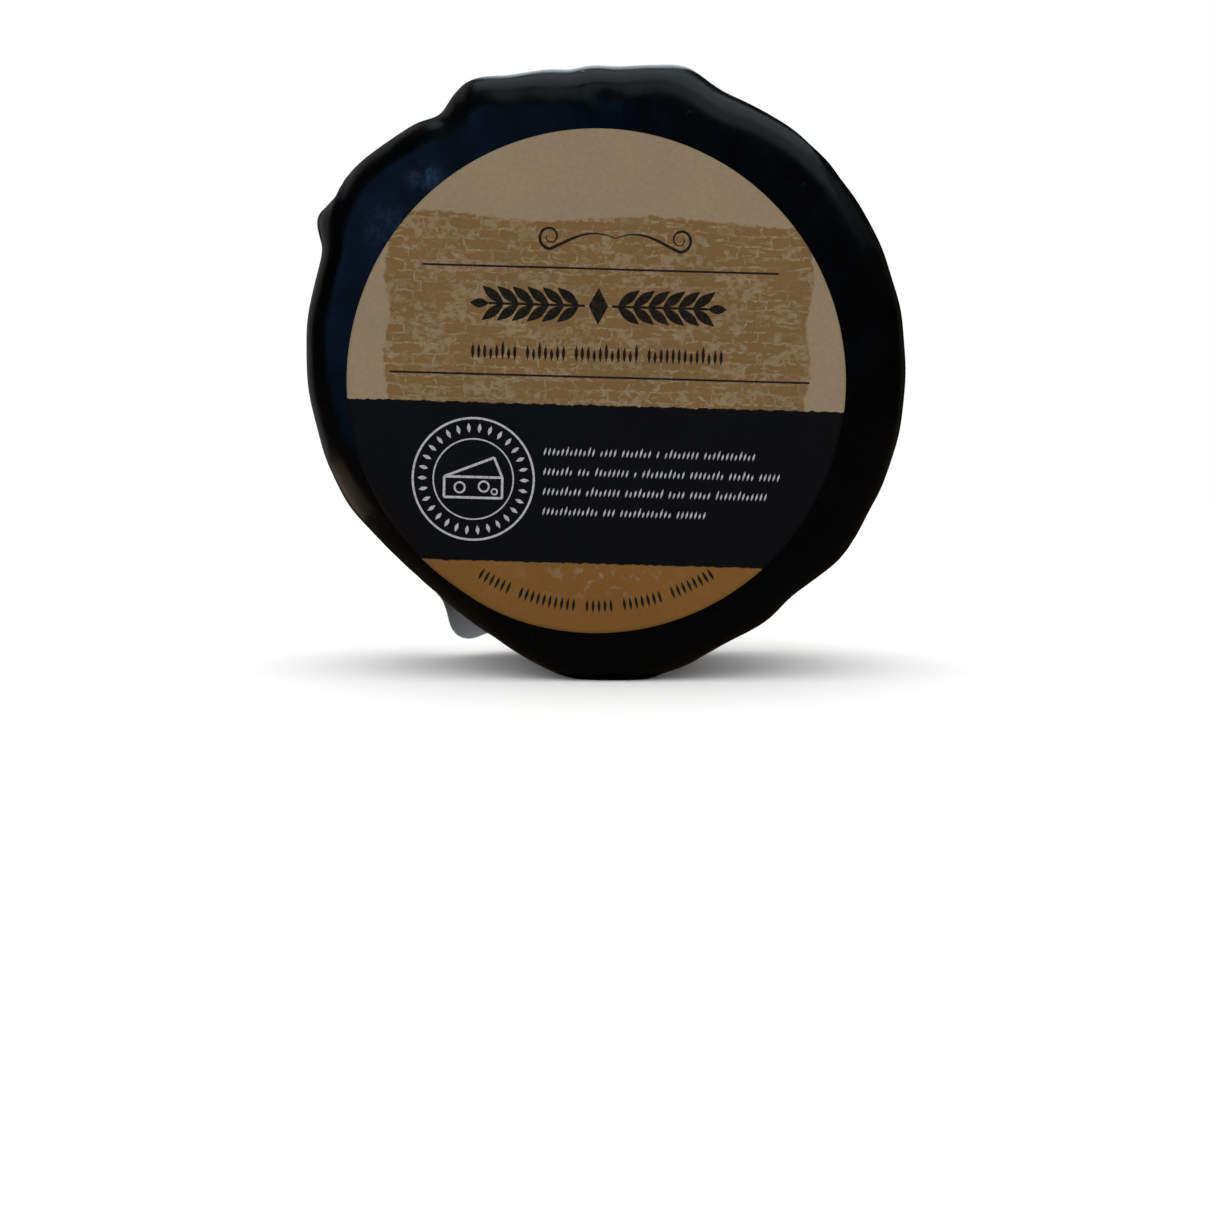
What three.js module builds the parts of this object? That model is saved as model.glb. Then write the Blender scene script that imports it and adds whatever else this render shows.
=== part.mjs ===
// A small drum-shaped cheese, a truckle, dipped in thick black wax and stood on its rim.
// It carries a round paper label on its front face and a rounded rectangular one on its back,
// whose corners are longer than the face and wrap on to the side wall; one of them stands free.
//
// Millimetres, +Z up. The front label faces -Y. The origin is the middle of the object's
// footprint, on the surface that it stands on. Angles are in degrees, anticlockwise from +X as
// seen from the front, about the drum's own axis, which runs along Y.

import * as THREE from 'three';

// ---------------------------------------------------------------------------------------------
// Driving dimensions
// ---------------------------------------------------------------------------------------------

const DRUM = {
  radius: 42.35,     // the side wall, before its high and low places
  thickness: 37,     // from the flat front face to the flat back face
  shoulder: 4.2,     // radius of the rounded edge between a face and the side wall
  swell: 0.6,        // how far the side wall barrels out half way between the faces
  footSink: 0.8,     // how deep the soft rim is pressed flat where it stands
};

// Where the hand-dipped wall stands out from a true circle, or falls short of it. Each place
// fades as a bell curve: over `spread` degrees round the wall, and over `reach` millimetres
// either side of the depth `y` where it stops short of the whole thickness.
const WALL_PLACES = [
  { name: 'full right side', angle: 10, rise: 0.35, spread: 18 },
  { name: 'high left side', angle: 130, rise: 2.4, spread: 42 },
  { name: 'slack lower left', angle: 230, rise: -3, spread: 22, y: -19, reach: 20 },
  { name: 'settled bottom', angle: 270, rise: 1.9, spread: 16 },
  { name: 'dent lower right', angle: 312, rise: -1.3, spread: 7, y: -8, reach: 22 },
  { name: 'tuck under the right', angle: 293, rise: -0.7, spread: 9, y: -8, reach: 22 },
  { name: 'round right shoulder', angle: 48, rise: 0.9, spread: 14 },
  { name: 'top right corner', angle: 76.5, rise: 1.7, spread: 6.5, y: -10, reach: 26 },
  { name: 'raised top', angle: 82, rise: 0.35, spread: 22 },
  { name: 'little step', angle: 97, rise: -0.4, spread: 3, y: -14, reach: 12 },
  { name: 'fold of wax', angle: 115, rise: 1.2, spread: 5, y: -14, reach: 14 },
  { name: 'tuck beside the fold', angle: 123, rise: -0.9, spread: 3.2, y: -14, reach: 14 },
  { name: 'left crest', angle: 141, rise: 1.5, spread: 8, y: -12, reach: 24 },
  { name: 'lump of wax', angle: 151, rise: 3, spread: 4, y: -9, reach: 8 },
  { name: 'flank below the lump', angle: 164, rise: 0.4, spread: 8, y: -10, reach: 20 },
];

const FRONT_LABEL = {
  radius: 35,
  thickness: 0.25,
  offsetX: -1.7,     // its centre, from the drum's axis
  offsetZ: -1.25,
};

const REVERSE_LABEL = {
  width: 84,
  height: 60,
  corner: 4,         // radius of its rounded corners
  thickness: 0.25,
  turn: 23.5,        // of its width, from +X
  freeSpread: 8,     // how many degrees round the wall the free corner takes to come unstuck
  freeLift: 0.42,    // the share of the wax's turn that the free corner leaves out
  floorClear: 0.5,   // between the free corner and the surface that the cheese stands on
};

const STICK_GAP = 0.35; // between the wax and the paper stuck on it

// How finely the curved faces are divided.
const DRUM_COLUMNS = 120;
const SHOULDER_STEPS = 4;
const WALL_STEPS = 5;
const DISC_SEGMENTS = 72;
const SHEET_COLUMNS = 112;
const SHEET_RINGS = 8;
const PATH_STEPS = 24;

// ---------------------------------------------------------------------------------------------
// The drum's surface
// ---------------------------------------------------------------------------------------------

const radians = THREE.MathUtils.degToRad;
const frontY = -DRUM.thickness / 2;
const backY = DRUM.thickness / 2;

function bell(distance, spread) {
  return Math.exp(-((distance / spread) ** 2));
}

// The shorter way round from one direction to another, in degrees.
function turnBetween(from, to) {
  return THREE.MathUtils.euclideanModulo(to - from + 180, 360) - 180;
}

// Radius of the side wall at a direction and depth, before the foot is pressed flat.
function wallRadius(angle, y) {
  const straightHalf = DRUM.thickness / 2 - DRUM.shoulder;
  const level = THREE.MathUtils.clamp(y / straightHalf, -1, 1);
  let radius = DRUM.radius + DRUM.swell * (1 - level * level);
  for (const place of WALL_PLACES) {
    const round = bell(turnBetween(place.angle, angle), place.spread);
    const deep = place.reach ? bell(y - place.y, place.reach) : 1;
    radius += place.rise * round * deep;
  }
  return radius;
}

// The point of a rounded edge at a tilt of 0 (where the face ends) to 90 degrees (where the side
// wall starts). `side` is -1 at the front and 1 at the back.
function shoulderPoint(angle, side, tilt) {
  const inset = DRUM.shoulder * (1 - Math.cos(radians(tilt)));
  const y = side * (DRUM.thickness / 2 - inset);
  const radius = wallRadius(angle, y) - DRUM.shoulder * (1 - Math.sin(radians(tilt)));
  return { radius, y };
}

function faceEdgeRadius(angle, side) {
  return shoulderPoint(angle, side, 0).radius;
}

// The drum's axis stands as high as its lowest direction is long, less what the foot gives.
const DOWN = 270;
const axisZ = wallRadius(DOWN, 0) - DRUM.swell - DRUM.footSink;

// The reverse label is turned less where its free corner, the lowest, would reach the surface.
function reverseTurn() {
  const { width, height, corner, turn, floorClear } = REVERSE_LABEL;
  const diagonal = THREE.MathUtils.radToDeg(Math.atan2(height, width));
  const reach = Math.hypot(width, height) / 2 - corner * (Math.SQRT2 - 1);
  const steepest = Math.asin(Math.min(1, (axisZ - floorClear) / reach));
  return Math.min(turn, THREE.MathUtils.radToDeg(steepest) - diagonal);
}

const labelTurn = reverseTurn();
const freeCorner = 180 + labelTurn
  + THREE.MathUtils.radToDeg(Math.atan2(REVERSE_LABEL.height, REVERSE_LABEL.width));

// From a direction, a distance from the axis and a depth to X, Y and Z.
function place(angle, radius, y) {
  const x = radius * Math.cos(radians(angle));
  const z = axisZ + radius * Math.sin(radians(angle));
  return new THREE.Vector3(x, y, z);
}

// One profile of the drum from the front face's edge to the back face's edge.
function drumProfile(angle) {
  const profile = [];
  for (let i = 0; i <= SHOULDER_STEPS; i += 1) {
    profile.push(shoulderPoint(angle, -1, (90 * i) / SHOULDER_STEPS));
  }
  const start = frontY + DRUM.shoulder;
  const length = DRUM.thickness - 2 * DRUM.shoulder;
  for (let i = 1; i < WALL_STEPS; i += 1) {
    const y = start + (length * i) / WALL_STEPS;
    profile.push({ radius: wallRadius(angle, y), y });
  }
  for (let i = SHOULDER_STEPS; i >= 0; i -= 1) {
    profile.push(shoulderPoint(angle, 1, (90 * i) / SHOULDER_STEPS));
  }
  return profile;
}

// ---------------------------------------------------------------------------------------------
// Closed bodies from rings of points
// ---------------------------------------------------------------------------------------------

// A closed body from a first pole, rings of the same number of points, and a last pole. The rings
// run anticlockwise as seen from the first pole.
function ringBody(firstPole, rings, lastPole) {
  const columns = rings[0].length;
  const points = [firstPole, ...rings.flat(), lastPole];
  const index = [];
  const at = (ring, column) => 1 + ring * columns + (column % columns);
  const last = points.length - 1;
  for (let c = 0; c < columns; c += 1) {
    index.push(0, at(0, c), at(0, c + 1));
    for (let r = 0; r + 1 < rings.length; r += 1) {
      index.push(at(r, c), at(r + 1, c), at(r + 1, c + 1));
      index.push(at(r, c), at(r + 1, c + 1), at(r, c + 1));
    }
    index.push(at(rings.length - 1, c), last, at(rings.length - 1, c + 1));
  }
  const geometry = new THREE.BufferGeometry().setFromPoints(points);
  geometry.setIndex(index);
  geometry.computeVertexNormals();
  return geometry;
}

// ---------------------------------------------------------------------------------------------
// The waxed cheese: one solid
// ---------------------------------------------------------------------------------------------

function waxedCheese() {
  const angles = Array.from({ length: DRUM_COLUMNS }, (_, i) => (360 * i) / DRUM_COLUMNS);
  const profiles = angles.map(drumProfile);
  const rings = profiles[0].map((_, row) => angles.map((angle, column) => {
    const { radius, y } = profiles[column][row];
    const point = place(angle, radius, y);
    point.z = Math.max(point.z, 0); // the flat foot
    return point;
  }));
  return ringBody(place(0, 0, frontY), rings, place(0, 0, backY));
}

// ---------------------------------------------------------------------------------------------
// The labels
// ---------------------------------------------------------------------------------------------

function frontLabel() {
  const disc = new THREE.Shape().absarc(0, 0, FRONT_LABEL.radius, 0, 2 * Math.PI);
  const geometry = new THREE.ExtrudeGeometry(disc, {
    depth: FRONT_LABEL.thickness,
    curveSegments: DISC_SEGMENTS,
    bevelEnabled: false,
  });
  geometry.rotateX(Math.PI / 2);
  const backOfPaper = frontY - STICK_GAP;
  geometry.translate(FRONT_LABEL.offsetX, backOfPaper, axisZ + FRONT_LABEL.offsetZ);
  return geometry;
}

function roundedRectangle(width, height, corner) {
  const x = width / 2;
  const y = height / 2;
  const quarter = Math.PI / 2;
  return new THREE.Shape()
    .moveTo(x, -y + corner)
    .lineTo(x, y - corner)
    .absarc(x - corner, y - corner, corner, 0, quarter)
    .lineTo(-x + corner, y)
    .absarc(-x + corner, y - corner, corner, quarter, 2 * quarter)
    .lineTo(-x, -y + corner)
    .absarc(-x + corner, -y + corner, corner, 2 * quarter, 3 * quarter)
    .lineTo(x - corner, -y)
    .absarc(x - corner, -y + corner, corner, 3 * quarter, 4 * quarter);
}

// The way a sheet stuck on the back takes in one direction: flat to the face's edge, then over the
// shoulder and along the side wall. Near the free corner it turns by less than the wax does, so it
// leaves the drum at a tangent. Each point has its distance along the paper and the paper's
// outward normal.
function sheetPath(angle) {
  const wax = [];
  for (let i = 0; i <= PATH_STEPS; i += 1) {
    wax.push(shoulderPoint(angle, 1, (90 * i) / PATH_STEPS));
  }
  const length = DRUM.thickness - 2 * DRUM.shoulder;
  for (let i = 1; i <= PATH_STEPS; i += 1) {
    const y = backY - DRUM.shoulder - (length * i) / PATH_STEPS;
    wax.push({ radius: wallRadius(angle, y), y });
  }
  const { freeLift, freeSpread } = REVERSE_LABEL;
  const stuck = 1 - freeLift * bell(turnBetween(freeCorner, angle), freeSpread);
  const flat = wax[0].radius;
  const path = [
    { along: 0, radius: 0, y: backY, heading: 0 },
    { along: flat, radius: flat, y: backY, heading: 0 },
  ];
  for (let i = 1; i < wax.length; i += 1) {
    const step = Math.hypot(wax[i].radius - wax[i - 1].radius, wax[i].y - wax[i - 1].y);
    const waxHeading = Math.atan2(wax[i - 1].y - wax[i].y, wax[i].radius - wax[i - 1].radius);
    const heading = waxHeading * stuck;
    const from = path[path.length - 1];
    path.push({
      along: from.along + step,
      radius: from.radius + step * Math.cos(heading),
      y: from.y - step * Math.sin(heading),
      heading,
    });
  }
  return path;
}

// The paper's point at a distance along its way, lifted off the wax along its normal.
function onPath(path, distance, lift) {
  let i = 1;
  while (i + 1 < path.length && path[i].along < distance) {
    i += 1;
  }
  const from = path[i - 1];
  const to = path[i];
  const share = (distance - from.along) / (to.along - from.along);
  const heading = THREE.MathUtils.lerp(from.heading, to.heading, share);
  return {
    radius: THREE.MathUtils.lerp(from.radius, to.radius, share) + lift * Math.sin(heading),
    y: THREE.MathUtils.lerp(from.y, to.y, share) + lift * Math.cos(heading),
  };
}

function reverseLabel() {
  const { width, height, corner, thickness } = REVERSE_LABEL;
  const outline = roundedRectangle(width, height, corner).getSpacedPoints(SHEET_COLUMNS);
  outline.pop(); // the last point closes on the first
  const columns = outline.map((point) => {
    const angle = THREE.MathUtils.radToDeg(point.angle()) + labelTurn;
    const edge = point.length();
    const flat = Math.min(0.8 * edge, faceEdgeRadius(angle, 1));
    return { angle, edge, flat, path: sheetPath(angle) };
  });
  const ring = (share, lift) => columns.map(({ angle, edge, flat, path }) => {
    const { radius, y } = onPath(path, THREE.MathUtils.lerp(flat, edge, share), lift);
    return place(angle, radius, y);
  });
  const shares = Array.from({ length: SHEET_RINGS }, (_, i) => i / (SHEET_RINGS - 1));
  const inner = shares.map((share) => ring(share, STICK_GAP));
  const outer = shares.map((share) => ring(share, STICK_GAP + thickness)).reverse();
  const innerPole = place(0, 0, backY + STICK_GAP);
  const outerPole = place(0, 0, backY + STICK_GAP + thickness);
  return ringBody(innerPole, [...inner, ...outer], outerPole);
}

// ---------------------------------------------------------------------------------------------
// The object
// ---------------------------------------------------------------------------------------------

function piece(name, geometry, color, roughness) {
  const material = new THREE.MeshStandardMaterial({ color, roughness, metalness: 0 });
  const mesh = new THREE.Mesh(geometry, material);
  mesh.name = name;
  return mesh;
}

const group = new THREE.Group();
group.add(
  piece('waxed_cheese', waxedCheese(), 0x0b0e14, 0.3),
  piece('front_label', frontLabel(), 0x87765c, 0.7),
  piece('reverse_label', reverseLabel(), 0xd8d4d2, 0.7),
);

// Put the middle of the footprint over the origin.
const middle = new THREE.Box3().setFromObject(group).getCenter(new THREE.Vector3());
group.position.set(-middle.x, -middle.y, 0);

export default group;
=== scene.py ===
"""A small drum-shaped cheese dipped in thick black wax and stood on its rim, with two paper labels.

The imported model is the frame. Three of its nodes are shown finer here: the waxed cheese, the round
front label and the rounded rectangular reverse label, whose corners wrap on to the side wall. What
is printed on the labels is thin films of ink lying on the paper.

Sizes are in millimetres and angles in degrees. An angle runs anticlockwise from +X as seen from
the front, about the drum's own axis, which runs along Y. The front label faces -Y.
"""

from __future__ import annotations

import logging
import math
from collections.abc import Sequence
from dataclasses import dataclass
from enum import Enum
from typing import Protocol

import bmesh
import bpy
import numpy as np
from mathutils import Euler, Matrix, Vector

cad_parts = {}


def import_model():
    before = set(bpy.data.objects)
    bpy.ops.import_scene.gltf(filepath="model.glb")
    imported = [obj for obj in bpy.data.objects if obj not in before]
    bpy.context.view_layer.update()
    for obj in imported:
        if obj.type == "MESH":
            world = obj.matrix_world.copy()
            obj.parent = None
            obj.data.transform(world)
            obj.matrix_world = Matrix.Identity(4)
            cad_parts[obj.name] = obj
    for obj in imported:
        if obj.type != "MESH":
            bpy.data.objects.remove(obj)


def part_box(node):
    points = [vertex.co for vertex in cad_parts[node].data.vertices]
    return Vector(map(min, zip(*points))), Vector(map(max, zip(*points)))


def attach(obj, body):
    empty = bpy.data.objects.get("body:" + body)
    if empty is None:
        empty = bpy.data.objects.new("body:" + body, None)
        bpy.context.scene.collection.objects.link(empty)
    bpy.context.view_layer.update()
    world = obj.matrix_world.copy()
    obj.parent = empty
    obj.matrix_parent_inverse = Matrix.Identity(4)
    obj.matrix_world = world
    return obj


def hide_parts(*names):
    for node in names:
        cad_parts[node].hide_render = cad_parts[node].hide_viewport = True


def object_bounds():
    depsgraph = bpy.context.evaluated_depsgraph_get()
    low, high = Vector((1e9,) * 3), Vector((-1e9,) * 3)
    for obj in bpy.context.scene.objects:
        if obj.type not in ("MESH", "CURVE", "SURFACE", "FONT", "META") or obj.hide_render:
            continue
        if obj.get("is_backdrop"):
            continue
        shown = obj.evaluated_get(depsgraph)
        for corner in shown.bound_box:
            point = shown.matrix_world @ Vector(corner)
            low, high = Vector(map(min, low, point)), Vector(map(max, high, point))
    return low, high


Array = np.ndarray
Colour = tuple[float, float, float]
Piece = bpy.types.Object
Material = bpy.types.Material
Socket = bpy.types.NodeSocket

MM = 0.001
ROOT = "root"
log = logging.getLogger("truckle")


# ---- Shapes of curves ----


def bell(distance: Array, spread: float) -> Array:
    """A bell curve: e to the power of minus the square of distance over spread."""
    return np.exp(-((distance / spread) ** 2))


def turn_between(start: float, angle: Array) -> Array:
    """The shorter way round from one direction to another, in degrees, from -180 to 180."""
    return (angle - start + 180.0) % 360.0 - 180.0


def ease(value: Array, low: float, high: float) -> Array:
    """A smooth step: 0 below low, 1 above high, and 3tt - 2ttt between them."""
    t = np.clip((value - low) / (high - low), 0.0, 1.0)
    return t * t * (3.0 - 2.0 * t)


@dataclass(frozen=True)
class Waves:
    """A soft random unevenness of space: a sum of plane waves in seeded directions.

    The height at a point is the mean over the waves of the sine of the point's distance along
    the wave's direction, times 2 pi over its wavelength, plus its phase.
    """

    seed: int
    wavelength: float
    height: float
    count: int = 18

    def at(self, points: Array) -> Array:
        """Heights at points of shape (..., 3)."""
        draw = np.random.default_rng(self.seed)
        way = draw.normal(size=(3, self.count))
        way /= np.linalg.norm(way, axis=0)
        way *= 2.0 * math.pi / (self.wavelength * draw.uniform(0.75, 1.35, self.count))
        phase = draw.uniform(0.0, 2.0 * math.pi, self.count)
        total = np.sin(points @ way + phase).sum(axis=-1)
        return self.height * total / math.sqrt(self.count / 2.0)


# ---- Meshes ----


def linked(name: str, data: bpy.types.ID) -> Piece:
    """A new object in the scene."""
    thing = bpy.data.objects.new(name, data)
    bpy.context.scene.collection.objects.link(thing)
    return thing


def new_piece(name: str, points: Array, faces: list[list[int]]) -> Piece:
    """A smooth-shaded object at the origin, from vertices in millimetres, shape (count, 3)."""
    mesh = bpy.data.meshes.new(name)
    mesh.from_pydata((points * MM).tolist(), [], faces)
    mesh.polygons.foreach_set("use_smooth", np.ones(len(faces), dtype=bool))
    mesh.update()
    return linked(name, mesh)


def ring_faces(rings: int, columns: int) -> list[list[int]]:
    """Faces of a closed body: a first pole, rings of the same number of points, a last pole.

    Args:
        rings: how many rings there are.
        columns: how many points each ring has.

    Returns:
        Vertex numbers of each face, outwards when the rings run anticlockwise as seen from
        the first pole.
    """
    column = np.arange(columns)
    after = (column + 1) % columns
    ring = np.arange(rings - 1)[:, None]
    here, there = 1 + ring * columns + column, 1 + ring * columns + after
    quads = np.stack([here, here + columns, there + columns, there], axis=-1).reshape(-1, 4)
    last = 1 + (rings - 1) * columns
    pole = 1 + rings * columns
    first_fan = np.stack([np.zeros_like(column), 1 + column, 1 + after], axis=-1)
    last_fan = np.stack([last + column, np.full_like(column, pole), last + after], axis=-1)
    return first_fan.tolist() + quads.tolist() + last_fan.tolist()


def ring_body(name: str, first: Array, rings: Array, last: Array) -> Piece:
    """A closed body from a pole, rings of points, shape (rings, columns, 3), and a pole."""
    points = np.vstack([first[None], rings.reshape(-1, 3), last[None]])
    return new_piece(name, points, ring_faces(rings.shape[0], rings.shape[1]))


def write_corner_values(piece: Piece, name: str, places: Array) -> None:
    """Gives a piece a UV map from two numbers at each vertex, shape (count, 2)."""
    mesh = piece.data
    corner = np.zeros(len(mesh.loops), dtype=np.int32)
    mesh.loops.foreach_get("vertex_index", corner)
    layer = mesh.uv_layers.new(name=name)
    layer.data.foreach_set("uv", places[corner].astype(np.float32).ravel())


def write_vertex_values(piece: Piece, name: str, values: Array) -> None:
    """Gives a piece a named number at each vertex."""
    attribute = piece.data.attributes.new(name, "FLOAT", "POINT")
    attribute.data.foreach_set("value", values.astype(np.float32).ravel())


def keep(piece: Piece, slot: str, *nodes: str) -> None:
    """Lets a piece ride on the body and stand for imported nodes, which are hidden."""
    if nodes:
        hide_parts(*nodes)
    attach(piece, ROOT)
    log.info("%s: %d faces", piece.name, len(piece.data.polygons))


# ---- Finishes ----


PRINT_MAP = "print"
# Vertex field: how strongly a painted blue sheen (a painted reflection of blue light) shows on the
# wax.
PAINTED_SHEEN_FIELD = "painted_sheen"
MASONRY_FIELD = "masonry"
BLOT_FIELD = "blots"
PAPER_REFRACTION = 1.38


class Graph:
    """A material's nodes, made and joined in short lines."""

    def __init__(self, name: str) -> None:
        """Starts a material of this name with one Principled shader."""
        self.material = bpy.data.materials.new(name)
        self.material.use_nodes = True
        self.tree = self.material.node_tree
        self.tree.nodes.clear()
        self.shader = self.add("ShaderNodeBsdfPrincipled")
        self.add("ShaderNodeOutputMaterial", {"Surface": self.shader.outputs["BSDF"]})

    def add(
        self, kind: str, entries: dict[str | int, object] | None = None, **values: object
    ) -> bpy.types.Node:
        """A new node; each named value is set on it, and each entry is joined or set."""
        node = self.tree.nodes.new(kind)
        for name, value in values.items():
            setattr(node, name, value)
        for entry, value in (entries or {}).items():
            self.put(node.inputs[entry], value)
        return node

    def put(self, entry: Socket, value: object) -> None:
        """Joins a socket to an input, or sets the input's own value."""
        if isinstance(value, Socket):
            self.tree.links.new(value, entry)
        else:
            entry.default_value = value

    def places(self) -> Socket:
        """Object coordinates, in metres."""
        return self.add("ShaderNodeTexCoord").outputs["Object"]

    def print_places(self, size: float) -> Socket:
        """Millimetres from a label's middle, from the UV map of a square of this size."""
        source = self.add("ShaderNodeUVMap", uv_map=PRINT_MAP)
        entries = {
            "Vector": source.outputs["UV"],
            "Scale": (size, size, 1.0),
            "Location": (-size / 2, -size / 2, 0.0),
        }
        return self.add("ShaderNodeMapping", entries).outputs["Vector"]

    def field(self, name: str) -> Socket:
        """A named number at each vertex."""
        return self.add("ShaderNodeAttribute", attribute_name=name).outputs["Fac"]

    def noise(
        self, vector: Socket, scale: float, detail: float = 2.0, rough: float = 0.5
    ) -> Socket:
        """Smooth noise between 0 and 1, `scale` grains to a unit of the vector."""
        entries = {"Vector": vector, "Scale": scale, "Detail": detail, "Roughness": rough}
        return self.add("ShaderNodeTexNoise", entries).outputs["Fac"]

    def math(self, operation: str, first: object, second: object) -> Socket:
        """A sum, difference or other operation on two numbers or sockets."""
        return self.add("ShaderNodeMath", {0: first, 1: second}, operation=operation).outputs[0]

    def times(self, first: object, second: object) -> Socket:
        """The product of two numbers or sockets."""
        return self.math("MULTIPLY", first, second)

    def vector(self, operation: str, entries: dict[str | int, object]) -> Socket:
        """An operation on vectors or colours."""
        return self.add("ShaderNodeVectorMath", entries, operation=operation).outputs[0]

    def span(
        self, value: Socket, low: float, high: float, to_low: float = 0.0, to_high: float = 1.0
    ) -> Socket:
        """Maps low..high to to_low..to_high, held at both ends."""
        ends = {"From Min": low, "From Max": high, "To Min": to_low, "To Max": to_high}
        return self.add("ShaderNodeMapRange", {"Value": value, **ends}).outputs["Result"]

    def blend(self, share: object, first: object, second: object) -> Socket:
        """A colour between two colours."""
        ends = [(*end, 1.0) if isinstance(end, tuple) else end for end in (first, second)]
        entries = {0: share, 6: ends[0], 7: ends[1]}
        return self.add("ShaderNodeMix", entries, data_type="RGBA").outputs[2]

    def bump(self, height: Socket, depth: float, before: Socket | None = None) -> Socket:
        """Raises a height of 0 to 1 by `depth` millimetres, over an earlier bump if given."""
        entries = {"Strength": 1.0, "Distance": depth * MM, "Height": height}
        if before is not None:
            entries["Normal"] = before
        return self.add("ShaderNodeBump", entries).outputs["Normal"]

    def done(
        self,
        colour: Socket,
        roughness: Socket | float,
        refraction: float | None = None,
        normal: Socket | None = None,
    ) -> Material:
        """Sets the shader up and hands over the material; what is left out stays as it was."""
        values = (colour, roughness, refraction, normal)
        for name, value in zip(("Base Color", "Roughness", "IOR", "Normal"), values):
            if value is not None:
                self.put(self.shader.inputs[name], value)
        return self.material


@dataclass(frozen=True)
class BlackWax:
    """Thick black coating wax: nearly black, satin, with a fine skin, a few tiny bubbles and a
    painted blue sheen in a few spots.
    """

    cool: Colour = (0.0005, 0.0007, 0.0012)
    warm: Colour = (0.0007, 0.0006, 0.0008)
    # The blue colour below is a painted sheen: a reflection of blue light painted into the wax's
    # colour.
    painted_sheen: Colour = (0.008, 0.030, 0.075)
    refraction: float = 1.46
    smooth: float = 0.20
    dull: float = 0.34
    wave_depth: float = 0.06
    skin_depth: float = 0.003
    bubble_height: float = 0.05
    bubble_cells: float = 210.0

    def make(self) -> Material:
        """Builds the material."""
        g = Graph("black_wax")
        metres = g.places()
        plain = g.blend(g.span(g.noise(metres, 70.0), 0.35, 0.65), self.cool, self.warm)
        # The painted blue sheen, broken up by fine noise, is mixed into the colour where its vertex
        # field is high.
        sheen_crumbs = g.span(g.noise(metres, 900.0, 3.0, 0.6), 0.42, 0.62, 0.15, 1.0)
        colour = g.blend(g.times(g.field(PAINTED_SHEEN_FIELD), sheen_crumbs), plain, self.painted_sheen)
        haze = g.span(g.noise(metres, 160.0, 4.0, 0.6), 0.3, 0.7, self.smooth, self.dull)
        soft = g.bump(g.noise(metres, 260.0, 1.0), self.wave_depth)
        skin = g.bump(g.noise(metres, 1500.0, 1.0), self.skin_depth, soft)
        entries = {"Vector": metres, "Scale": self.bubble_cells}
        cells = g.add("ShaderNodeTexVoronoi", entries, feature="F1")
        bubbles = g.span(cells.outputs["Distance"], 0.10, 0.03)
        raised = g.bump(bubbles, self.bubble_height, skin)
        return g.done(colour, haze, self.refraction, raised)


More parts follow.
